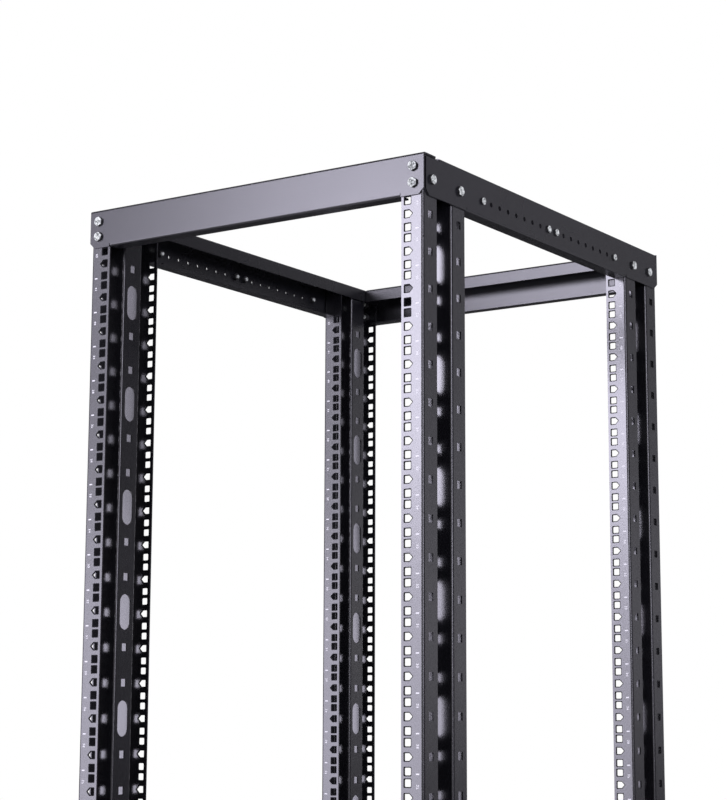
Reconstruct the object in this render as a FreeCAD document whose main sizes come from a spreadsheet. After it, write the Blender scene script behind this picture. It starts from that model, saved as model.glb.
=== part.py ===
import FreeCAD, Part
import os
import Sketcher
from FreeCAD import Rotation, Vector

# Four post open frame rack. Millimetres, +Z up, +X to the right, front towards -Y.
# The origin lies on the floor, midway between the left and right posts and midway in depth.

# ---------------------------------------------------------------- driving sizes

SIZES = (
    # rail hole pattern
    ("rack_units", 42),          # height of the equipment space, in units
    ("unit_pitch", 44.45),       # height of one unit
    ("first_hole", 6.35),        # from the edge of a unit to its first hole's centre
    ("hole_step", 15.875),       # between neighbouring holes of one unit
    ("column_spacing", 465.1),   # between the left and right hole columns
    ("hole_size", 9.5),          # side of a square rail hole
    ("house_shoulder", 2.4),     # from the middle hole's centre to where its point begins
    # sheet
    ("sheet", 2.0),              # thickness of all folded parts
    ("bend_inside", 1.0),        # inside radius of every bend
    # posts
    ("frame_width", 508.0),      # over the outer faces of the posts
    ("frame_depth", 611.0),      # over the front and rear faces of the posts
    ("flange_width", 30.0),      # from a post's outer face to the free edge of its flange
    ("strip_width", 31.8),       # each of the two outer strips of a post
    ("recess_width", 30.4),      # clear width of the recess between the strips
    ("recess_depth", 27.0),      # from the outer face to the floor of the recess
    ("side_hole", 9.5),          # side of the square holes in the strips and the web
    ("slot_width", 20.0),        # cable slots in the web
    ("slot_length", 45.0),
    ("slot_group", 3),           # units from one cable slot to the next
    # beams
    ("beam_height", 50.0),       # over both flanges
    ("end_space", 49.0),         # from the floor or the top to the equipment space
    ("long_flange", 34.5),       # the flange away from the equipment space
    ("lip_height", 18.5),        # the turned edge of the long flange
    ("short_flange", 19.0),      # the flange next to the equipment space
    ("corner_cut", 7.0),         # chamfer at the lower corners of the webs
    ("corner_gap", 3.5),         # from the front beam to the web of a side beam
    ("corner_relief", 2.0),      # from the front beam's flange down to that web
    ("clearance", 1.0),          # between parts that pass each other
    # depth rails inside the side beams
    ("row_holes", 18),           # holes in a side beam
    ("row_pitch", 20.5),
    ("row_height", 20.0),        # from the short flange to the hole row
    ("row_hole_radius", 3.1),
    ("rail_end", 10.0),          # from a depth rail's last hole to its end
)


class Size:
    """A length: its value and the sheet expression that drives it."""

    def __init__(self, value, text):
        self.value = float(value)
        self.text = text

    def __add__(self, other):
        other = as_size(other)
        return Size(self.value + other.value, f"({self.text} + {other.text})")

    def __sub__(self, other):
        other = as_size(other)
        return Size(self.value - other.value, f"({self.text} - {other.text})")

    def __mul__(self, factor):
        factor = as_size(factor)
        return Size(self.value * factor.value, f"({self.text} * {factor.text})")

    def __truediv__(self, divisor):
        divisor = as_size(divisor)
        return Size(self.value / divisor.value, f"({self.text} / {divisor.text})")

    def __neg__(self):
        return self * -1


def as_size(number):
    return number if isinstance(number, Size) else Size(number, repr(number))


ZERO = as_size(0)

doc = FreeCAD.newDocument("OpenFrameRack")
sheet = doc.addObject("Spreadsheet::Sheet", "Sizes")
cells = {}
for row, (alias, number) in enumerate(SIZES, start=1):
    sheet.set(f"A{row}", alias)
    sheet.set(f"B{row}", str(number))
    sheet.setAlias(f"B{row}", alias)
    cells[alias] = Size(number, f"Sizes.{alias}")
doc.recompute()

units = cells["rack_units"]
pitch = cells["unit_pitch"]
thick = cells["sheet"]
inside = cells["bend_inside"]
outside = inside + thick
width = cells["frame_width"]
depth = cells["frame_depth"]
flange = cells["flange_width"]
strip = cells["strip_width"]
recess = cells["recess_width"]
web_depth = cells["recess_depth"]
beam = cells["beam_height"]
clear = cells["clearance"]
long_flange = cells["long_flange"]
short_flange = cells["short_flange"]
corner_cut = cells["corner_cut"]
slit = outside + clear                                # reliefs beside a bend

post_depth = strip * 2 + recess
column = width / 2 - cells["column_spacing"] / 2      # from the outer face to the hole column
bay_bottom = cells["end_space"]
rack_height = units * pitch + bay_bottom * 2
post_length = rack_height - thick * 2


# ---------------------------------------------------------------- helpers

def bind(thing, path, size):
    thing.setExpression(path, size.text)


def new_body(label, corner, turn):
    """An empty body whose own origin stands at a corner of the rack, turned into place."""
    body = doc.addObject("PartDesign::Body", label)
    body.Label = label
    across, back, up = corner
    body.Placement = FreeCAD.Placement(Vector(across.value, back.value, up.value), turn)
    bind(body, "Placement.Base.x", across)
    bind(body, "Placement.Base.y", back)
    bind(body, "Placement.Base.z", up)
    return body


def mirror(source, label, normal):
    """The same piece on the other side of the rack's middle plane."""
    twin = doc.addObject("Part::Mirroring", label)
    twin.Label = label
    twin.Source = source
    twin.Normal = normal
    twin.Base = Vector(0, 0, (rack_height / 2).value)
    bind(twin, "Base.z", rack_height / 2)
    return twin


def new_sketch(body, name, role, offset=ZERO):
    """A sketch on one of the body's own origin planes, moved along the plane's normal."""
    plane = next(item for item in body.Origin.OriginFeatures if item.Role == role)
    sketch = body.newObject("Sketcher::SketchObject", name)
    sketch.AttachmentSupport = [(plane, "")]
    sketch.MapMode = "FlatFace"
    if offset is not ZERO:
        sketch.AttachmentOffset = FreeCAD.Placement(Vector(0, 0, offset.value), Rotation())
        bind(sketch, "AttachmentOffset.Base.z", offset)
    return sketch


def place_point(sketch, edge, end, at):
    """Ties one point of an edge to two sizes, measured from the sketch's origin."""
    for size, kind, axis in ((at[0], "DistanceX", -2), (at[1], "DistanceY", -1)):
        if size is ZERO:
            sketch.addConstraint(Sketcher.Constraint("PointOnObject", edge, end, axis))
        else:
            rule = sketch.addConstraint(Sketcher.Constraint(kind, -1, 1, edge, end, size.value))
            bind(sketch, f"Constraints[{rule}]", size)


def draw_outline(sketch, corners):
    """A closed outline of straight edges whose corners are all tied to the sheet."""
    points = [Vector(across.value, up.value, 0) for across, up in corners]
    edges = []
    for start, end in zip(points, points[1:] + points[:1]):
        edges.append(sketch.addGeometry(Part.LineSegment(start, end), False))
    for edge, following in zip(edges, edges[1:] + edges[:1]):
        sketch.addConstraint(Sketcher.Constraint("Coincident", edge, 2, following, 1))
    for edge, corner in zip(edges, corners):
        place_point(sketch, edge, 1, corner)


def draw_square(sketch, centre, side):
    across, up = centre
    half = side / 2
    draw_outline(sketch, ((across - half, up - half), (across + half, up - half),
                          (across + half, up + half), (across - half, up + half)))


def draw_circle(sketch, centre, radius):
    across, up = centre
    circle = Part.Circle(Vector(across.value, up.value, 0), Vector(0, 0, 1), radius.value)
    edge = sketch.addGeometry(circle, False)
    place_point(sketch, edge, 3, centre)
    rule = sketch.addConstraint(Sketcher.Constraint("Radius", edge, radius.value))
    bind(sketch, f"Constraints[{rule}]", radius)


def draw_slot(sketch, centre, slot_width, slot_length):
    """An upright slot with round ends."""
    across, up = centre
    radius = slot_width / 2
    reach = slot_length / 2 - radius
    top = Vector(across.value, (up + reach).value, 0)
    bottom = Vector(across.value, (up - reach).value, 0)
    side = Vector(radius.value, 0, 0)
    full = Vector(0, radius.value, 0)
    upper = sketch.addGeometry(Part.Arc(top + side, top + full, top - side), False)
    lower = sketch.addGeometry(Part.Arc(bottom - side, bottom - full, bottom + side), False)
    left = sketch.addGeometry(Part.LineSegment(top - side, bottom - side), False)
    right = sketch.addGeometry(Part.LineSegment(bottom + side, top + side), False)
    sketch.addConstraint(Sketcher.Constraint("Tangent", upper, 2, left, 1))
    sketch.addConstraint(Sketcher.Constraint("Tangent", left, 2, lower, 1))
    sketch.addConstraint(Sketcher.Constraint("Tangent", lower, 2, right, 1))
    sketch.addConstraint(Sketcher.Constraint("Tangent", right, 2, upper, 1))
    place_point(sketch, upper, 3, (across, up + reach))
    place_point(sketch, lower, 3, (across, up - reach))
    rule = sketch.addConstraint(Sketcher.Constraint("Radius", upper, radius.value))
    bind(sketch, f"Constraints[{rule}]", radius)


def extrude(body, kind, name, sketch, length, reverse=False):
    """A Pad or Pocket whose length is tied to the sheet."""
    feature = body.newObject(f"PartDesign::{kind}", name)
    feature.Profile = sketch
    feature.Length = length.value
    bind(feature, "Length", length)
    feature.Reversed = reverse
    return feature


def repeat(body, name, originals, sketch, axis, spacing, count):
    """Repeats cuts along an axis of their sketch."""
    pattern = body.newObject("PartDesign::LinearPattern", name)
    pattern.Originals = originals
    pattern.Direction = (sketch, [axis])
    pattern.Mode = "Spacing"
    pattern.Offset = spacing.value
    bind(pattern, "Offset", spacing)
    pattern.Occurrences = int(round(count.value))
    bind(pattern, "Occurrences", count)
    body.Tip = pattern
    return pattern


def round_bends(body, direction, corners):
    """Rounds the bends that run along a direction: (point near the edge, radius) for each."""
    doc.recompute()
    for number, (radius, points) in enumerate(corners, start=1):
        base = body.Tip
        names = []
        for point in points:
            names.append(nearest_edge(base.Shape, direction, point))
        fillet = body.newObject("PartDesign::Fillet", f"{body.Label}_bend{number}")
        fillet.Base = (base, names)
        fillet.Radius = radius.value
        bind(fillet, "Radius", radius)
        doc.recompute()


def nearest_edge(shape, direction, point):
    """Name of the straight edge along a direction that passes nearest to a point."""
    best = None
    for number, edge in enumerate(shape.Edges, start=1):
        if len(edge.Vertexes) != 2:
            continue
        run = edge.Vertexes[1].Point - edge.Vertexes[0].Point
        if run.cross(direction).Length > 0.001 * run.Length:
            continue
        gap = edge.distToShape(Part.Vertex(point))[0]
        if best is None or gap < best[0]:
            best = (gap, f"Edge{number}")
    return best[1]


LEFT_TO_RIGHT = Vector(1, 0, 0)
FRONT_TO_REAR = Vector(0, 1, 0)
TOP_TO_BOTTOM = Vector(0, 0, 1)


# ---------------------------------------------------------------- posts

def make_post(label, corner):
    """A folded post, drawn with its outer face at x = 0, front face at y = 0, foot at z = 0."""
    body = new_body(label, corner, Rotation())
    front_wall = strip
    rear_wall = strip + recess
    section = new_sketch(body, f"{label}_section", "XY_Plane")
    draw_outline(section, (
        (flange, ZERO), (flange, thick), (thick, thick), (thick, front_wall - thick),
        (web_depth + thick, front_wall - thick), (web_depth + thick, rear_wall + thick),
        (thick, rear_wall + thick), (thick, post_depth - thick), (flange, post_depth - thick),
        (flange, post_depth), (ZERO, post_depth), (ZERO, rear_wall),
        (web_depth, rear_wall), (web_depth, front_wall), (ZERO, front_wall), (ZERO, ZERO)))
    extrude(body, "Pad", f"{label}_fold", section, post_length)
    half = post_length.value / 2
    convex = ((ZERO, ZERO), (ZERO, front_wall), (web_depth + thick, front_wall - thick),
              (web_depth + thick, rear_wall + thick), (ZERO, rear_wall), (ZERO, post_depth))
    hollow = ((thick, thick), (thick, front_wall - thick), (web_depth, front_wall),
              (web_depth, rear_wall), (thick, rear_wall + thick), (thick, post_depth - thick))
    round_bends(body, Vector(0, 0, 1), (
        (outside, [Vector(x.value, y.value, half) for x, y in convex]),
        (inside, [Vector(x.value, y.value, half) for x, y in hollow])))

    # rail holes of the lowest unit, in both flanges, repeated for every unit
    unit_foot = bay_bottom - thick
    half_hole = cells["hole_size"] / 2
    first = unit_foot + cells["first_hole"]
    middle = first + cells["hole_step"]
    last = middle + cells["hole_step"]
    shoulder = cells["house_shoulder"]
    cuts = []
    for side, start, reverse in (("front", ZERO, False), ("rear", -post_depth, True)):
        holes = new_sketch(body, f"{label}_{side}_holes", "XZ_Plane", start)
        draw_square(holes, (column, first), cells["hole_size"])
        draw_square(holes, (column, last), cells["hole_size"])
        draw_outline(holes, (
            (column + half_hole, middle - half_hole), (column + half_hole, middle + half_hole),
            (column - shoulder, middle + half_hole), (column - shoulder - half_hole, middle),
            (column - shoulder, middle - half_hole)))
        cuts.append(extrude(body, "Pocket", f"{label}_{side}_cut", holes, thick, reverse))
    side_holes = new_sketch(body, f"{label}_strip_holes", "YZ_Plane")
    draw_square(side_holes, (strip / 2, middle), cells["side_hole"])
    draw_square(side_holes, (post_depth - strip / 2, middle), cells["side_hole"])
    cuts.append(extrude(body, "Pocket", f"{label}_strip_cut", side_holes, thick, True))
    repeat(body, f"{label}_units", cuts, holes, "V_Axis", pitch, units)

    # cable slot with a square hole one unit below and above it, repeated up the web
    group = cells["slot_group"]
    web = new_sketch(body, f"{label}_web_holes", "YZ_Plane", web_depth)
    draw_square(web, (post_depth / 2, middle), cells["side_hole"])
    draw_slot(web, (post_depth / 2, middle + pitch), cells["slot_width"], cells["slot_length"])
    draw_square(web, (post_depth / 2, middle + pitch * 2), cells["side_hole"])
    web_cut = extrude(body, "Pocket", f"{label}_web_cut", web, thick, True)
    repeat(body, f"{label}_slots", [web_cut], web, "V_Axis", pitch * group, units / group)
    return body


front_left = make_post("front_left_post", (-width / 2, -depth / 2, thick))
rear_left = mirror(front_left, "rear_left_post", FRONT_TO_REAR)
pieces = [front_left, rear_left, mirror(front_left, "front_right_post", LEFT_TO_RIGHT),
          mirror(rear_left, "rear_right_post", LEFT_TO_RIGHT)]


# ---------------------------------------------------------------- beams and depth rails

def make_channel(body, length, height, web_outline, long_outline, short_outline, lip_ends=()):
    """A folded channel drawn along x. Its web stands at y = 0 with the flanges behind it,
    the short flange at its foot and the long flange on top, which may end in a lip."""
    name = body.Label
    web = new_sketch(body, f"{name}_web", "XZ_Plane")
    draw_outline(web, web_outline)
    extrude(body, "Pad", f"{name}_web_plate", web, thick, True)
    long_part = new_sketch(body, f"{name}_long", "XY_Plane", height)
    draw_outline(long_part, long_outline)
    extrude(body, "Pad", f"{name}_long_flange", long_part, thick, True)
    short_part = new_sketch(body, f"{name}_short", "XY_Plane")
    draw_outline(short_part, short_outline)
    extrude(body, "Pad", f"{name}_short_flange", short_part, thick)
    half = length.value / 2
    wall = thick.value
    top = height.value
    convex = [Vector(half, 0, top), Vector(half, 0, 0)]
    hollow = [Vector(half, wall, top - wall), Vector(half, wall, wall)]
    if lip_ends:
        start, end = lip_ends
        edge = height - cells["lip_height"]
        lip = new_sketch(body, f"{name}_lip", "XZ_Plane", -long_flange)
        draw_outline(lip, ((start, edge), (end, edge), (end, height), (start, height)))
        extrude(body, "Pad", f"{name}_lip_plate", lip, thick)
        convex.append(Vector(half, long_flange.value, top))
        hollow.append(Vector(half, long_flange.value - wall, top - wall))
    round_bends(body, Vector(1, 0, 0), ((outside, convex), (inside, hollow)))


def cut_row(body, first, up, count):
    """A row of round holes along a channel's web."""
    name = body.Label
    row = new_sketch(body, f"{name}_row", "XZ_Plane")
    draw_circle(row, (first, up), cells["row_hole_radius"])
    hole = extrude(body, "Pocket", f"{name}_row_cut", row, thick)
    repeat(body, f"{name}_row_holes", [hole], row, "H_Axis", cells["row_pitch"], count)


def tabbed_web(length, end, inner, upper):
    """Outline of a beam's web from 0 to its end. Past the short flange it runs down as flat
    tabs, each parted from the flange's bend by a slit."""
    tab = inner - clear
    return ((corner_cut, ZERO), (tab, ZERO), (tab, slit), (inner, slit), (inner, ZERO),
            (length - inner, ZERO), (length - inner, slit), (length - tab, slit),
            (length - tab, ZERO), (end - corner_cut, ZERO),
            (end, corner_cut)) + upper + ((ZERO, corner_cut),)


def plain_flange(start, end, reach):
    return ((start, ZERO), (end, ZERO), (end, reach), (start, reach))


def make_front_beam(label, corner):
    """Front beam, drawn from left to right. Its long flange lies over the posts and the ends
    of the side beams, and its lip hangs between the posts."""
    body = new_body(label, corner, Rotation())
    length = width + thick * 2
    inner = thick + flange + clear
    far = length - inner
    reach = long_flange - slit
    long_part = ((ZERO, ZERO), (length, ZERO), (length, reach - slit), (length - slit, reach),
                 (far, reach), (far, long_flange), (inner, long_flange), (inner, reach),
                 (slit, reach), (ZERO, reach - slit))
    make_channel(body, length, beam,
                 tabbed_web(length, length, inner, ((length, beam), (ZERO, beam))),
                 long_part, plain_flange(inner, far, short_flange), (inner, far))
    return body


def make_rear_beam(label, corner):
    """Rear beam, drawn from right to left. Its long flange lies between the side beams'."""
    body = new_body(label, corner, ABOUT_FACE)
    length = width + thick * 2
    inner = thick + flange + clear
    start = long_flange + clear
    end = length - start
    upper = ((length, beam), (end + clear, beam), (end + clear, beam - slit), (end, beam - slit),
             (end, beam), (start, beam), (start, beam - slit), (start - clear, beam - slit),
             (start - clear, beam), (ZERO, beam))
    make_channel(body, length, beam, tabbed_web(length, length, inner, upper),
                 plain_flange(start, end, long_flange),
                 plain_flange(inner, length - inner, short_flange), (start, end))
    return body


def make_side_beam(label, corner):
    """Side beam, drawn from rear to front. Its long flange ends behind the front beam's, where
    the web is lowered to pass under it."""
    body = new_body(label, corner, ALONG_THE_SIDE)
    front = depth - cells["corner_gap"]
    inner = post_depth + clear
    under = beam - thick - cells["corner_relief"]
    end = depth + thick - long_flange - clear
    upper = ((front, under), (end, under), (end, beam), (ZERO, beam))
    make_channel(body, depth, beam, tabbed_web(depth, front, inner, upper),
                 plain_flange(ZERO, end, long_flange),
                 plain_flange(inner, depth - inner, short_flange), (ZERO, end))
    cut_row(body, first_row_hole, cells["row_height"], cells["row_holes"])
    return body


def make_depth_rail(label, corner):
    """Channel that nests inside one half of a side beam, drawn from its rear end."""
    body = new_body(label, corner, ALONG_THE_SIDE)
    half_row = cells["row_holes"] / 2
    length = (half_row - 1) * cells["row_pitch"] + cells["rail_end"] * 2
    height = beam - thick * 2
    make_channel(body, length, height,
                 ((ZERO, ZERO), (length, ZERO), (length, height), (ZERO, height)),
                 plain_flange(ZERO, length, long_flange - thick * 2 - clear),
                 plain_flange(ZERO, length, short_flange - thick))
    cut_row(body, cells["rail_end"], cells["row_height"] - thick, half_row)
    return body


ALONG_THE_SIDE = Rotation(Vector(0, 0, 1), -90)
ABOUT_FACE = Rotation(Vector(0, 0, 1), 180)
beam_front = -depth / 2 - thick
beam_side = -width / 2 - thick
beam_foot = rack_height - beam
row_run = (cells["row_holes"] - 1) * cells["row_pitch"]
first_row_hole = depth / 2 - row_run / 2

top_front = make_front_beam("top_front_beam", (beam_side, beam_front, beam_foot))
top_rear = make_rear_beam("top_rear_beam", (-beam_side, -beam_front, beam_foot))
top_left = make_side_beam("top_left_beam", (beam_side, depth / 2, beam_foot))
top_right = mirror(top_left, "top_right_beam", LEFT_TO_RIGHT)
left_rear_rail = make_depth_rail("top_left_rear_rail", (
    beam_side + thick, row_run / 2 + cells["rail_end"], beam_foot + thick))
left_front_rail = mirror(left_rear_rail, "top_left_front_rail", FRONT_TO_REAR)
right_rear_rail = mirror(left_rear_rail, "top_right_rear_rail", LEFT_TO_RIGHT)
right_front_rail = mirror(left_front_rail, "top_right_front_rail", LEFT_TO_RIGHT)
upper = [top_front, top_rear, top_left, top_right,
         left_rear_rail, left_front_rail, right_rear_rail, right_front_rail]
lower = [mirror(piece, piece.Label.replace("top", "bottom"), TOP_TO_BOTTOM) for piece in upper]
pieces += upper + lower


# ---------------------------------------------------------------- check and export

doc.recompute()
for item in doc.Objects:
    if "Invalid" in item.State or "Error" in item.State:
        raise RuntimeError(f"{item.Label}: {item.State}")
os.makedirs("parts", exist_ok=True)
for piece in pieces:
    shape = piece.Shape
    if shape.isNull() or not shape.isValid() or len(shape.Solids) != 1:
        raise RuntimeError(f"{piece.Label} is not one valid solid")
for piece in pieces:
    piece.Shape.exportStep(f"parts/{piece.Label}.step")
    box = piece.Shape.BoundBox
    print(f"{piece.Label}: {piece.Shape.Volume:.0f} mm3, {len(piece.Shape.Faces)} faces, "
          f"x {box.XMin:.1f} {box.XMax:.1f}, y {box.YMin:.1f} {box.YMax:.1f}, "
          f"z {box.ZMin:.1f} {box.ZMax:.1f}")
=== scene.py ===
"""Looks of the four post open frame rack: paint, bolts, screws, nuts, hole edges and unit marks."""

from math import cos, pi, radians, sin

import bpy
from mathutils import Matrix, Vector


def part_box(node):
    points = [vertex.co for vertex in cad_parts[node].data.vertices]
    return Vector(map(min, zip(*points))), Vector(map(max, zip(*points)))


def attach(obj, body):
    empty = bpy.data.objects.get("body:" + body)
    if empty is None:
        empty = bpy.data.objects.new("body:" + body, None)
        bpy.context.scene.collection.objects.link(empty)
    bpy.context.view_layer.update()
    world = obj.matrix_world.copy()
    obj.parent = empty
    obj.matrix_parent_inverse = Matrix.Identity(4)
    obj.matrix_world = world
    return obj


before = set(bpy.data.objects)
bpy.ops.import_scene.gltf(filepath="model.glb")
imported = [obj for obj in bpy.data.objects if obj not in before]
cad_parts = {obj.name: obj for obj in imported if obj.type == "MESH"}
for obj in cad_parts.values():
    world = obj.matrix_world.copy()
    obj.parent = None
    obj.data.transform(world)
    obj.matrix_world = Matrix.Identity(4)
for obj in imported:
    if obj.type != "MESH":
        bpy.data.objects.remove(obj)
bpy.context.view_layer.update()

MM = 0.001

# Sizes that the frame gives, in metres.
post_low, post_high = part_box("front_right_post")
beam_low, beam_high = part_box("top_front_beam")
side_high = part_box("top_right_beam")[1]
SHEET = beam_high.z - post_high.z
FACE_X = side_high.x
FACE_Y = -beam_low.y
FLANGE_Y = -post_low.y
TOP = beam_high.z

UNITS = 42
UNIT = 44.45 * MM
HOLE_COLUMN = 465.1 * MM / 2
FIRST_UNIT = TOP / 2 - UNITS * UNIT / 2

INK = 0.08 * MM                  # how far print and rims lie above the paint


def noise(value):
    """A number from 0 to 1 that depends on value alone."""
    seed, spread, shuffle = 7, 127.1, 43758.5453
    return (sin(value * spread + seed) * shuffle) % 1.0


# Materials -----------------------------------------------------------------


def link(tree, source, socket):
    tree.links.new(source, socket)


def coordinates(tree):
    """Object coordinates, which are metres in the rack's own frame."""
    return tree.nodes.new("ShaderNodeTexCoord").outputs["Object"]


def noise_node(tree, vector, scale, detail=2.0, rough=0.5):
    node = tree.nodes.new("ShaderNodeTexNoise")
    node.inputs["Scale"].default_value = scale
    node.inputs["Detail"].default_value = detail
    node.inputs["Roughness"].default_value = rough
    link(tree, vector, node.inputs["Vector"])
    return node.outputs["Fac"]


def ramp(tree, value, stops):
    node = tree.nodes.new("ShaderNodeValToRGB")
    elements = node.color_ramp.elements
    for place, _ in stops[2:]:
        elements.new(place)
    for element, (place, colour) in zip(elements, stops):
        element.position = place
        element.color = (*colour, 1.0)
    link(tree, value, node.inputs["Fac"])
    return node.outputs["Color"]


def remap(tree, value, low, high):
    node = tree.nodes.new("ShaderNodeMapRange")
    node.inputs["To Min"].default_value = low
    node.inputs["To Max"].default_value = high
    link(tree, value, node.inputs["Value"])
    return node.outputs["Result"]


def bump(tree, height, distance, before=None):
    node = tree.nodes.new("ShaderNodeBump")
    node.inputs["Distance"].default_value = distance
    link(tree, height, node.inputs["Height"])
    if before is not None:
        link(tree, before, node.inputs["Normal"])
    return node.outputs["Normal"]


def new_material(name):
    material = bpy.data.materials.new(name)
    material.use_nodes = True
    tree = material.node_tree
    shader = tree.nodes["Principled BSDF"]
    return material, tree, shader


def make_powder_coat(name, smooth, rough, gloss):
    """Satin black powder coat with a fine orange-peel skin."""
    material, tree, shader = new_material(name)
    place = coordinates(tree)
    cloud = noise_node(tree, place, 5.0, 3.0)
    grain = noise_node(tree, place, 900.0, 2.0)
    colour = ramp(tree, cloud, [(0.3, (0.006, 0.006, 0.007)), (0.7, (0.009, 0.009, 0.011))])
    link(tree, colour, shader.inputs["Base Color"])
    link(tree, remap(tree, cloud, smooth, rough), shader.inputs["Roughness"])
    link(tree, bump(tree, grain, 0.00006), shader.inputs["Normal"])
    shader.inputs["Specular IOR Level"].default_value = gloss
    return material


def make_zinc(name, dark, light, smooth, rough):
    """Matt zinc flake coating, with clouds and tool marks. Where the clouds run light, the colour
    is partly the zinc's own mottle and partly painted glints.
    """
    material, tree, shader = new_material(name)
    place = coordinates(tree)
    cloud = noise_node(tree, place, 330.0, 3.0)
    dent = noise_node(tree, place, 450.0, 1.0)
    scratch = noise_node(tree, place, 2200.0, 2.0)
    link(tree, ramp(tree, cloud, [(0.36, dark), (0.60, light)]), shader.inputs["Base Color"])
    link(tree, remap(tree, cloud, smooth, rough), shader.inputs["Roughness"])
    dented = bump(tree, dent, 0.0006)
    link(tree, bump(tree, scratch, 0.00004, before=dented), shader.inputs["Normal"])
    shader.inputs["Metallic"].default_value = 0.2
    return material


def make_print():
    """White screen print, a little thin over the grain of the paint."""
    material, tree, shader = new_material("white_print")
    place = coordinates(tree)
    wear = noise_node(tree, place, 700.0, 3.0)
    colour = ramp(tree, wear, [(0.25, (0.68, 0.68, 0.69)), (0.6, (0.88, 0.88, 0.88))])
    link(tree, colour, shader.inputs["Base Color"])
    link(tree, remap(tree, wear, 0.45, 0.6), shader.inputs["Roughness"])
    return material


POST_COAT = make_powder_coat("post_powder_coat", 0.20, 0.24, 1.0)
BEAM_COAT = make_powder_coat("beam_powder_coat", 0.25, 0.30, 0.78)
# A rough, low-gloss copy of the paint: painted shade in the row holes and on the rims of the rail
# holes.
PAINTED_SHADE_COAT = make_powder_coat("painted_shade_powder_coat", 0.60, 0.70, 0.20)
# The bright copy's light clouds are partly mottle of the zinc and partly painted glints.
PAINTED_GLINT_ZINC = make_zinc("zinc_with_painted_glints", (0.14, 0.15, 0.14), (0.72, 0.76, 0.69), 0.35, 0.50)
# A near-black copy of the zinc, as painted shade on the sides of the heads and on the nuts inside
# the beams.
PAINTED_SHADE_ZINC = make_zinc("painted_shade_zinc", (0.015, 0.015, 0.015), (0.04, 0.04, 0.04), 0.35, 0.50)
PRINT = make_print()

for name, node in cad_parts.items():
    node.data.materials.clear()
    node.data.materials.append(POST_COAT if name.endswith("post") else BEAM_COAT)


# Meshes --------------------------------------------------------------------


def add_piece(name, vertices, faces, material, smooth=True):
    mesh = bpy.data.meshes.new(name)
    mesh.from_pydata(vertices, [], faces)
    mesh.validate()
    mesh.materials.append(material)
    for polygon in mesh.polygons:
        polygon.use_smooth = smooth
    piece = bpy.data.objects.new(name, mesh)
    bpy.context.scene.collection.objects.link(piece)
    if smooth:
        mesh.set_sharp_from_angle(angle=radians(35))
    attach(piece, "root")
    return piece


def lathe(profile, count):
    """Rings of (radius, height), joined by quads. A radius may be a function of the angle, and
    None makes one point of its ring."""
    vertices, faces, rings = [], [], []
    for radius, height in profile:
        if radius is None:
            rings.append([len(vertices)])
            vertices.append((0.0, 0.0, height))
            continue
        ring = []
        for k in range(count):
            angle = 2 * pi * k / count
            r = radius(angle) if callable(radius) else radius
            ring.append(len(vertices))
            vertices.append((r * cos(angle), r * sin(angle), height))
        rings.append(ring)
    for low, high in zip(rings, rings[1:]):
        for k in range(count):
            n = (k + 1) % count
            if len(low) == 1:
                faces.append((low[0], high[k], high[n]))
            elif len(high) == 1:
                faces.append((low[k], low[n], high[0]))
            else:
                faces.append((low[k], low[n], high[n], high[k]))
    return vertices, faces


def polygon_radius(apothem, sides):
    """Radius of a regular polygon at an angle."""
    step = 2 * pi / sides

    def radius(angle):
        return apothem / cos((angle + step / 2) % step - step / 2)

    return radius


def cross_radius(half_width, reach):
    """Radius of an upright cross at an angle."""
    def radius(angle):
        across, up = max(abs(cos(angle)), 1e-6), max(abs(sin(angle)), 1e-6)
        return max(min(reach / across, half_width / up), min(reach / up, half_width / across))

    return radius


def trimmed_hexagon(across_flats):
    """A function that gives the radius of a hexagon with its corners turned off to a share."""
    outline = polygon_radius(across_flats / 2, 6)
    corner = across_flats / 2 / cos(pi / 6)

    def trimmed(share):
        return lambda angle: min(outline(angle), corner * share)

    return trimmed


# Shares of a bolt head's width across its flats.
HEAD_CHAMFER = 0.07
HEAD_DISH = 0.06
DISH_RADIUS = 0.36
CROSS_WIDTH = 0.09
CROSS_REACH = 0.28
CROSS_BEVEL = 0.02


def hex_head(across_flats, height, count=72):
    """A hexagon bolt head on z = 0 with a dished top and a cross recess: its sides and its top."""
    trimmed = trimmed_hexagon(across_flats)
    chamfer = HEAD_CHAMFER * across_flats
    dish = height - HEAD_DISH * across_flats
    floor = height * 0.45
    recess = cross_radius(CROSS_WIDTH * across_flats, CROSS_REACH * across_flats)
    shoulder = height - chamfer
    sides = [(trimmed(1.0), 0.0), (trimmed(1.0), shoulder)]
    top = [
        (trimmed(1.0), shoulder), (trimmed(0.95), height - chamfer * 0.45), (trimmed(0.88), height),
        (across_flats * (DISH_RADIUS + 0.04), height), (across_flats * DISH_RADIUS, dish),
        (lambda angle: recess(angle) * 1.12, dish), (recess, dish - CROSS_BEVEL * across_flats),
        (lambda angle: recess(angle) * 0.7, floor), (None, floor),
    ]
    return lathe(sides, count), lathe(top, count)


def hex_nut(across_flats, height, bore, count=48):
    """A hexagon nut on z = 0."""
    trimmed = trimmed_hexagon(across_flats)
    bevel = 0.4 * MM
    profile = [
        (bore, 0.0), (trimmed(0.93), 0.0), (trimmed(1.0), 0.35 * MM),
        (trimmed(1.0), height - 0.45 * MM), (trimmed(0.92), height), (bore + bevel, height),
        (bore, height - bevel), (bore, 0.0),
    ]
    return lathe(profile, count)


def bolt_end(radius, start, reach, count=24):
    """The end of a bolt that stands out of its nut, from start to reach above z = 0."""
    bevel = 0.6 * MM
    profile = [(None, start), (radius, start), (radius, reach - bevel), (radius - bevel, reach),
               (None, reach)]
    return lathe(profile, count)


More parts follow.
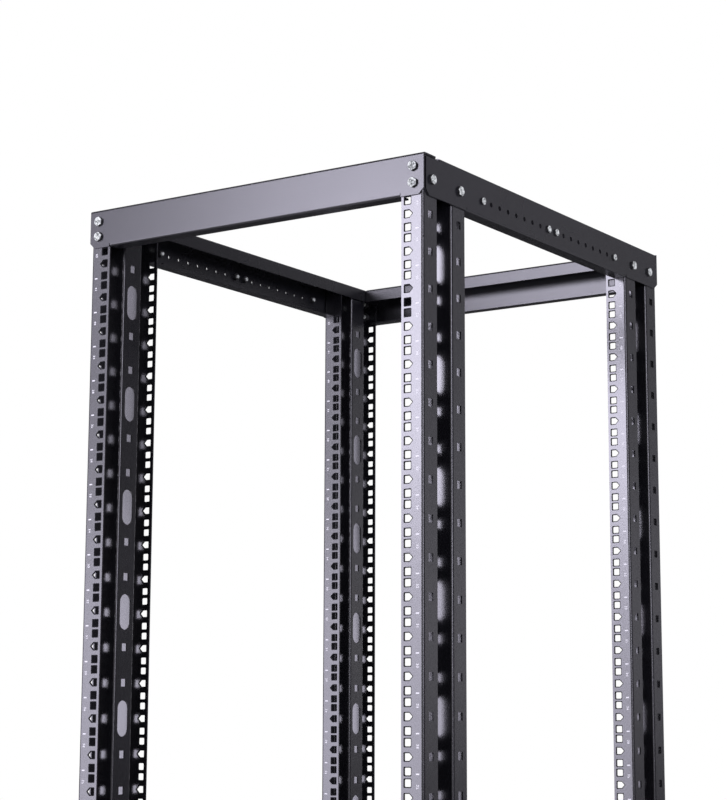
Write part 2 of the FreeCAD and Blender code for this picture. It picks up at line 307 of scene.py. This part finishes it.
def place_all(shape, places, axis):
    """Copies of a lathed shape at the places, with its z along axis, each turned differently."""
    vertices, faces = [], []
    shape_vertices, shape_faces = shape
    towards = Vector(axis).normalized()
    turn = towards.to_track_quat("Z", "Y").to_matrix()
    for number, place in enumerate(places):
        spin = Matrix.Rotation(2 * pi * noise(sum(place) * 31.0 + number), 3, "Z")
        start = len(vertices)
        for vertex in shape_vertices:
            vertices.append(tuple(Vector(place) + turn @ (spin @ Vector(vertex))))
        faces += [tuple(start + index for index in face) for face in shape_faces]
    return vertices, faces


# Fasteners -----------------------------------------------------------------

# Places are measured from the middle planes, and drops from the rack's top or bottom.
BOLT_X = 241.5 * MM
BOLT_DROPS = (15.4 * MM, 35.4 * MM)
SIDE_DROP = 30.0 * MM
SIDE_BOLTS = (-289.6 * MM, -227.4 * MM, 231.5 * MM, 280.0 * MM)
ROW_PITCH = 20.5 * MM
ROW_SCREWS = (-8.5, -0.5, 0.5, 8.5)          # in pitches
ROW_REACH = 9.0                              # in pitches, just past the last hole
NUT_DEPTH = 2 * SHEET

BOLT = hex_head(10.8 * MM, 3.4 * MM)
SCREW = hex_head(8.4 * MM, 2.6 * MM)
BOLT_NUT = hex_nut(11.5 * MM, 5.0 * MM, 3.2 * MM)
BOLT_END = bolt_end(3.0 * MM, 1.0 * MM, 8.0 * MM)
SCREW_NUT = hex_nut(9.0 * MM, 4.0 * MM, 2.7 * MM)
SCREW_END = bolt_end(2.5 * MM, 1.0 * MM, 6.0 * MM)


def level(drop, top):
    return TOP - drop if top else drop


def add_set(name, heads, places, axis, head, nut, end):
    """Bolts or screws with their heads outside at the places and their nuts inside."""
    inward = -Vector(axis)
    behind = [tuple(Vector(place) + inward * NUT_DEPTH) for place in places]
    sides, top = head
    # The sides of the heads and the nuts take the dark copy of the zinc, as painted shade; the tops
    # and the bolt ends take the light copy, with painted glints.
    add_piece(f"{name}_{heads}_sides", *place_all(sides, places, axis), PAINTED_SHADE_ZINC)
    add_piece(f"{name}_{heads}_tops", *place_all(top, places, axis), PAINTED_GLINT_ZINC)
    add_piece(f"{name}_{heads}_nuts", *place_all(nut, behind, inward), PAINTED_SHADE_ZINC)
    add_piece(f"{name}_{heads}_ends", *place_all(end, behind, inward), PAINTED_GLINT_ZINC)


for top, storey in ((True, "top"), (False, "bottom")):
    for side, end in ((-1, "front"), (1, "rear")):
        bolts = [(x, side * FACE_Y, level(drop, top))
                 for x in (-BOLT_X, BOLT_X) for drop in BOLT_DROPS]
        add_set(f"{storey}_{end}", "bolts", bolts, (0, side, 0), BOLT, BOLT_NUT, BOLT_END)
    for side, hand in ((-1, "left"), (1, "right")):
        bolts = [(side * FACE_X, y, level(SIDE_DROP, top)) for y in SIDE_BOLTS]
        screws = [(side * FACE_X, ROW_PITCH * n, level(SIDE_DROP, top)) for n in ROW_SCREWS]
        add_set(f"{storey}_{hand}", "bolts", bolts, (side, 0, 0), BOLT, BOLT_NUT, BOLT_END)
        add_set(f"{storey}_{hand}", "screws", screws, (side, 0, 0), SCREW, SCREW_NUT, SCREW_END)


# Holes ---------------------------------------------------------------------

HOLE = 9.5 * MM                  # side of a square hole
SHOULDER = 2.4 * MM              # from the middle hole's centre to where its point begins
HOLE_HEIGHTS = (6.35 * MM, 22.225 * MM, 38.1 * MM)
RIM = 0.60 * MM                  # from the hole's edge in to its rounded wall
SQUARE_RADIUS = 1.3 * MM         # of that wall's corners
HOUSE_RADIUS = 0.7 * MM
EDGE = 0.55 * MM                 # from the hole's edge out to where its roll ends
EDGE_RADIUS = 1.2 * MM
CREST = 0.10 * MM                # height of the roll
ROW_HOLE = 3.3 * MM              # radius that takes in a small round hole


def rounded(corners, inset, radius, steps=4):
    """Arcs for the corners of a convex outline that is moved inward by inset."""
    arcs = []
    for number, corner in enumerate(corners):
        before = (corners[number - 1] - corner).normalized()
        after = (corners[(number + 1) % len(corners)] - corner).normalized()
        half = before.angle(after) / 2
        inward = (before + after).normalized()
        middle = corner + inward * (inset + radius) / sin(half)
        sweep = pi - 2 * half
        arcs.append([middle - Matrix.Rotation(sweep * (k / steps - 0.5), 2) @ inward * radius
                     for k in range(steps + 1)])
    return arcs


def rim_shape(outline, radius):
    """The rolled edges and rounded wall of a punched hole, with y through the sheet."""
    corners = [Vector(corner) for corner in outline]
    vertices, faces, rings = [], [], []

    def join(crest, arcs, y, way):
        """Faces from the ring of corners to the arcs, which lie at y."""
        ring = []
        for arc in arcs:
            ring.append(range(len(vertices), len(vertices) + len(arc)))
            vertices.extend((point.x, y, point.y) for point in arc)
        for number, arc in enumerate(ring):
            following = (number + 1) % len(ring)
            faces.extend((crest[number], b, a)[::way] for a, b in zip(arc, arc[1:]))
            faces.append((crest[number], crest[following], ring[following][0], arc[-1])[::way])
        return [index for arc in ring for index in arc]

    for face, way in ((0.0, 1), (SHEET, -1)):
        crest = range(len(vertices), len(vertices) + len(corners))
        vertices += [(corner.x, face - way * CREST, corner.y) for corner in corners]
        join(crest, rounded(corners, -EDGE, EDGE_RADIUS), face - way * INK, -way)
        rings.append(join(crest, rounded(corners, RIM, radius), face + way * RIM, way))
    near, far = rings
    for k in range(len(near)):
        n = (k + 1) % len(near)
        faces.append((near[k], near[n], far[n], far[k]))
    return vertices, faces


def hole_rims(side, sheet_y):
    """Rims for every rail hole of a flange whose sheet starts at sheet_y."""
    half = HOLE / 2
    square = ((-half, -half), (half, -half), (half, half), (-half, half))
    house = ((-half, -half), (SHOULDER, -half), (SHOULDER + half, 0.0), (SHOULDER, half),
             (-half, half))
    square_rim = rim_shape([(side * x, z) for x, z in square][::side], SQUARE_RADIUS)
    house_rim = rim_shape([(side * x, z) for x, z in house][::side], HOUSE_RADIUS)
    vertices, faces = [], []
    for unit in range(UNITS):
        for height, rim in zip(HOLE_HEIGHTS, (square_rim, house_rim, square_rim)):
            rim_vertices, rim_faces = rim
            x, z = side * HOLE_COLUMN, FIRST_UNIT + unit * UNIT + height
            start = len(vertices)
            vertices += [(x + dx, sheet_y + dy, z + dz) for dx, dy, dz in rim_vertices]
            faces += [tuple(start + index for index in face) for face in rim_faces]
    return vertices, faces


INNER_Y = FLANGE_Y - (post_high.y - post_low.y)

# Each flange of a post: end, place, the printed face and where its sheet starts.
FLANGES = (
    ("front", "outer", -FLANGE_Y, -FLANGE_Y), ("front", "inner", -INNER_Y, -INNER_Y - SHEET),
    ("rear", "outer", FLANGE_Y, FLANGE_Y - SHEET), ("rear", "inner", INNER_Y, INNER_Y),
)

# The rims take the low-gloss coat, which lays a dark outline of painted shade round each rail hole.
for side, hand in ((-1, "left"), (1, "right")):
    for end, place, _, sheet_y in FLANGES:
        add_piece(f"{end}_{hand}_{place}_hole_rims", *hole_rims(side, sheet_y), PAINTED_SHADE_COAT)


def shade_row_holes(node):
    """A rough, low-gloss copy of the paint lies on the walls of the small row holes as painted
    shade.
    """
    node.data.materials.append(PAINTED_SHADE_COAT)
    for polygon in node.data.polygons:
        place = node.matrix_world @ polygon.center
        drop = min(TOP - place.z, place.z)
        inside = abs(drop - SIDE_DROP) < ROW_HOLE and abs(place.y) < ROW_PITCH * ROW_REACH
        if inside and abs(polygon.normal.x) < 0.1:
            polygon.material_index = 1


for name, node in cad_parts.items():
    if name.endswith(("left_beam", "right_beam", "rail")):
        shade_row_holes(node)


# Printed unit marks --------------------------------------------------------

MARK_X = 246.0 * MM
DASH = (4.6 * MM, 1.6 * MM)
DASH_LIFT = 3.5 * MM             # from a unit's lower edge
DIGIT_HEIGHT = 3.4 * MM
DIGIT_PITCH = 2.7 * MM
DIGIT_BOLDNESS = 0.03            # of the height
NUMBER_DROP = 10.5 * MM          # from a unit's upper edge


def digit_outline(digit):
    """Vertices and faces of one digit, one unit high, on the x axis and centred across it."""
    curve = bpy.data.curves.new("digit", "FONT")
    curve.body = digit
    curve.resolution_u = 2
    curve.offset = DIGIT_BOLDNESS
    curve.size = 1.0
    holder = bpy.data.objects.new("digit", curve)
    bpy.context.scene.collection.objects.link(holder)
    mesh = bpy.data.meshes.new_from_object(holder)
    points = [vertex.co.copy() for vertex in mesh.vertices]
    faces = [tuple(polygon.vertices) for polygon in mesh.polygons]
    bpy.data.objects.remove(holder)
    bpy.data.curves.remove(curve)
    bpy.data.meshes.remove(mesh)
    low_x, high_x = min(p.x for p in points), max(p.x for p in points)
    low_y, high_y = min(p.y for p in points), max(p.y for p in points)
    middle, height = (low_x + high_x) / 2, high_y - low_y
    return [((p.x - middle) / height, (p.y - low_y) / height) for p in points], faces


DIGITS = {digit: digit_outline(digit) for digit in "0123456789"}


def unit_marks(side, face_y, facing):
    """One column of dashes and turned numbers on a flange. The print looks along Y, by facing."""
    vertices, faces = [], []
    plane_y = face_y + facing * INK

    def add(points, shape_faces):
        start = len(vertices)
        vertices.extend((x, plane_y, z) for x, z in points)
        faces.extend(tuple(start + index for index in face) for face in shape_faces)

    for unit in range(UNITS):
        foot = FIRST_UNIT + unit * UNIT
        x, z = side * MARK_X, foot + DASH_LIFT
        half, thick = DASH[0] / 2, DASH[1] / 2
        add([(x - half, z - thick), (x + half, z - thick), (x + half, z + thick),
             (x - half, z + thick)], [(0, 1, 2, 3)])
        number = str(unit + 1)
        for place, digit in enumerate(number):
            points, digit_faces = DIGITS[digit]
            along = (place - (len(number) - 1) / 2) * DIGIT_PITCH
            turned = []
            for px, py in points:
                dx = (py - 0.5) * DIGIT_HEIGHT * -facing
                dz = (px * DIGIT_HEIGHT + along) * -1
                turned.append((x - dx, foot + UNIT - NUMBER_DROP + dz))
            add(turned, digit_faces)
    return vertices, faces


for side, hand in ((-1, "left"), (1, "right")):
    for end, place, face_y, sheet_y in FLANGES:
        facing = -1 if face_y == sheet_y else 1
        marks = unit_marks(side, face_y, facing)
        add_piece(f"{end}_{hand}_{place}_marks", *marks, PRINT, smooth=False)


# Studio --------------------------------------------------------------------


FLOOR_REACH = 3.2
FLOOR_FADE = 1.3                 # where it starts to fade
FLOOR_DROP = 0.5 * MM            # below the rack's foot


def make_floor():
    """A plain pale floor that fades into the white background away from the rack."""
    material, tree, shader = new_material("studio_floor")
    place = coordinates(tree)
    grain = noise_node(tree, place, 3.0, 2.0)
    colour = ramp(tree, grain, [(0.3, (0.66, 0.66, 0.66)), (0.7, (0.69, 0.69, 0.69))])
    link(tree, colour, shader.inputs["Base Color"])
    shader.inputs["Roughness"].default_value = 0.7
    distance = tree.nodes.new("ShaderNodeVectorMath")
    distance.operation = "LENGTH"
    link(tree, place, distance.inputs[0])
    fade = tree.nodes.new("ShaderNodeMapRange")
    fade.interpolation_type = "SMOOTHSTEP"
    fade.inputs["From Min"].default_value = FLOOR_FADE
    fade.inputs["From Max"].default_value = FLOOR_REACH
    link(tree, distance.outputs["Value"], fade.inputs["Value"])
    clear = tree.nodes.new("ShaderNodeBsdfTransparent")
    choice = tree.nodes.new("ShaderNodeMixShader")
    link(tree, fade.outputs["Result"], choice.inputs["Fac"])
    link(tree, shader.outputs["BSDF"], choice.inputs[1])
    link(tree, clear.outputs["BSDF"], choice.inputs[2])
    link(tree, choice.outputs["Shader"], tree.nodes["Material Output"].inputs["Surface"])
    mesh = bpy.data.meshes.new("floor")
    corners = [(x * FLOOR_REACH, y * FLOOR_REACH, -FLOOR_DROP)
               for x, y in ((-1, -1), (1, -1), (1, 1), (-1, 1))]
    mesh.from_pydata(corners, [], [(0, 1, 2, 3)])
    mesh.materials.append(material)
    floor = bpy.data.objects.new("floor", mesh)
    bpy.context.scene.collection.objects.link(floor)


make_floor()


# What gloss sees of the room: brightness by heading, in degrees from the rear (+Y) towards the
# right (+X), times brightness by height, in degrees above the horizon. The ground is lit except
# towards the rear left.
HEADING_STOPS = (
    (-180, 0.80), (-162, 0.15), (-100, 0.50), (-60, 1.00), (-10, 1.00), (15, 0.22), (27, 0.26),
    (30, 0.60), (33, 1.35), (35, 0.50), (37, 0.12), (40, 0.02), (50, 0.02), (58, 0.25), (66, 0.25),
    (74, 0.06), (94, 0.06), (106, 0.50), (180, 0.80),
)
HEIGHT_STOPS = (
    (-90, 0.02), (-10, 0.03), (-4, 0.10), (0, 1.10), (3, 1.50), (8, 0.95),
    (12, 0.70), (14, 0.72), (17, 1.00), (25, 0.55), (40, 0.60), (90, 0.80),
)
GROUND_HEADING_STOPS = (
    (-180, 0.45), (-58, 0.45), (-48, 0.0), (-16, 0.0), (-6, 0.45), (180, 0.45),
)
GROUND_HEIGHT_STOPS = ((-90, 1.0), (-12, 1.0), (-5, 0.0), (90, 0.0))
ROOM_TINT = (0.93, 0.91, 1.0)
FILL_LEVEL = 0.45


def math_node(tree, operation, *values):
    node = tree.nodes.new("ShaderNodeMath")
    node.operation = operation
    for socket, value in zip(node.inputs, values):
        if isinstance(value, float):
            socket.default_value = value
        else:
            link(tree, value, socket)
    return node.outputs["Value"]


def level_by_angle(tree, angle, stops):
    """Brightness from a table of (degrees, level) for an angle in radians."""
    low, high = stops[0][0], stops[-1][0]
    share = tree.nodes.new("ShaderNodeMapRange")
    share.inputs["From Min"].default_value = radians(low)
    share.inputs["From Max"].default_value = radians(high)
    link(tree, angle, share.inputs["Value"])
    places = [((degrees - low) / (high - low), (strength,) * 3) for degrees, strength in stops]
    return ramp(tree, share.outputs["Result"], places)


def make_world():
    """White to the camera, and a studio with a lit wall behind the rack to everything else."""
    world = bpy.data.worlds.new("studio")
    bpy.context.scene.world = world
    world.use_nodes = True
    tree = world.node_tree
    tree.nodes.clear()
    coord = tree.nodes.new("ShaderNodeTexCoord")
    split = tree.nodes.new("ShaderNodeSeparateXYZ")
    link(tree, coord.outputs["Generated"], split.inputs["Vector"])
    heading = math_node(tree, "ARCTAN2", split.outputs["X"], split.outputs["Y"])
    height = math_node(tree, "ARCSINE", split.outputs["Z"])
    wall = math_node(tree, "MULTIPLY", level_by_angle(tree, heading, HEADING_STOPS),
                     level_by_angle(tree, height, HEIGHT_STOPS))
    ground = math_node(tree, "MULTIPLY", level_by_angle(tree, heading, GROUND_HEADING_STOPS),
                       level_by_angle(tree, height, GROUND_HEIGHT_STOPS))
    wall = math_node(tree, "MAXIMUM", wall, ground)
    path = tree.nodes.new("ShaderNodeLightPath")
    wall = math_node(tree, "MULTIPLY", wall, path.outputs["Is Glossy Ray"])
    fill = math_node(tree, "MULTIPLY", path.outputs["Is Diffuse Ray"], FILL_LEVEL)
    seen = math_node(tree, "MAXIMUM", path.outputs["Is Camera Ray"],
                     path.outputs["Is Transmission Ray"])
    room = tree.nodes.new("ShaderNodeBackground")
    room.inputs["Color"].default_value = (*ROOM_TINT, 1.0)
    link(tree, math_node(tree, "MAXIMUM", wall, fill), room.inputs["Strength"])
    white = tree.nodes.new("ShaderNodeBackground")
    white.inputs["Color"].default_value = (1.0, 1.0, 1.0, 1.0)
    choice = tree.nodes.new("ShaderNodeMixShader")
    link(tree, seen, choice.inputs["Fac"])
    link(tree, room.outputs["Background"], choice.inputs[1])
    link(tree, white.outputs["Background"], choice.inputs[2])
    output = tree.nodes.new("ShaderNodeOutputWorld")
    link(tree, choice.outputs["Shader"], output.inputs["Surface"])


make_world()


LAMP_COLOUR = (0.86, 0.83, 1.0)


def add_softbox(name, place, aim, width, height, radiance, mirrored=True):
    """A soft lamp of the given radiance, which gloss may mirror."""
    lamp = bpy.data.lights.new(name, "AREA")
    lamp.shape = "RECTANGLE"
    lamp.size = width
    lamp.size_y = height
    lamp.energy = radiance * pi * width * height
    lamp.color = LAMP_COLOUR
    holder = bpy.data.objects.new(name, lamp)
    holder.location = place
    holder.rotation_euler = (Vector(aim) - Vector(place)).to_track_quat("-Z", "Y").to_euler()
    holder.visible_camera = False
    holder.visible_glossy = mirrored
    bpy.context.scene.collection.objects.link(holder)


add_softbox("key", (-1.50, -3.3, 2.60), (-0.1, -0.2, 1.9), 1.20, 1.4, 11.7)
add_softbox("low_key", (-2.20, -3.3, 1.25), (-0.1, -0.2, 1.5), 1.8, 1.3, 5.8)
add_softbox("side_key", (-2.72, -3.3, 2.55), (-0.1, -0.2, 1.8), 1.2, 1.3, 1.9)
add_softbox("edge_light", (3.00, -1.9, 2.30), (0.2, -0.2, 1.8), 0.9, 1.8, 7.0)
add_softbox("right_fill", (3.40, -0.3, 2.30), (0.1, 0.0, 1.7), 2.0, 1.6, 7.0, mirrored=False)


# Camera --------------------------------------------------------------------

CAMERA_PLACE = (1.4537, -2.1785, 1.30725)
CAMERA_YAW = radians(31.77)
CAMERA_PITCH = radians(9.39)
CAMERA_ROLL = radians(-0.21)
FOCAL_PIXELS = 1976.8
PICTURE = (727, 800)
CENTRE = (452.9, 397.3)

camera_data = bpy.data.cameras.new("camera")
camera_data.sensor_width = 36.0
camera_data.lens = FOCAL_PIXELS / PICTURE[1] * camera_data.sensor_width
camera_data.shift_x = (PICTURE[0] / 2 - CENTRE[0]) / PICTURE[1]
camera_data.shift_y = (CENTRE[1] - PICTURE[1] / 2) / PICTURE[1]
camera_data.clip_end = 60.0
camera = bpy.data.objects.new("camera", camera_data)
forward = Vector((-sin(CAMERA_YAW) * cos(CAMERA_PITCH), cos(CAMERA_YAW) * cos(CAMERA_PITCH),
                  sin(CAMERA_PITCH)))
level_right = Vector((cos(CAMERA_YAW), sin(CAMERA_YAW), 0.0))
level_up = level_right.cross(forward)
right = level_right * cos(CAMERA_ROLL) + level_up * sin(CAMERA_ROLL)
upward = level_up * cos(CAMERA_ROLL) - level_right * sin(CAMERA_ROLL)
turn = Matrix((right, upward, -forward)).transposed()
camera.matrix_world = Matrix.Translation(CAMERA_PLACE) @ turn.to_4x4()
bpy.context.scene.collection.objects.link(camera)
bpy.context.scene.camera = camera

bpy.context.scene.view_settings.view_transform = "Standard"
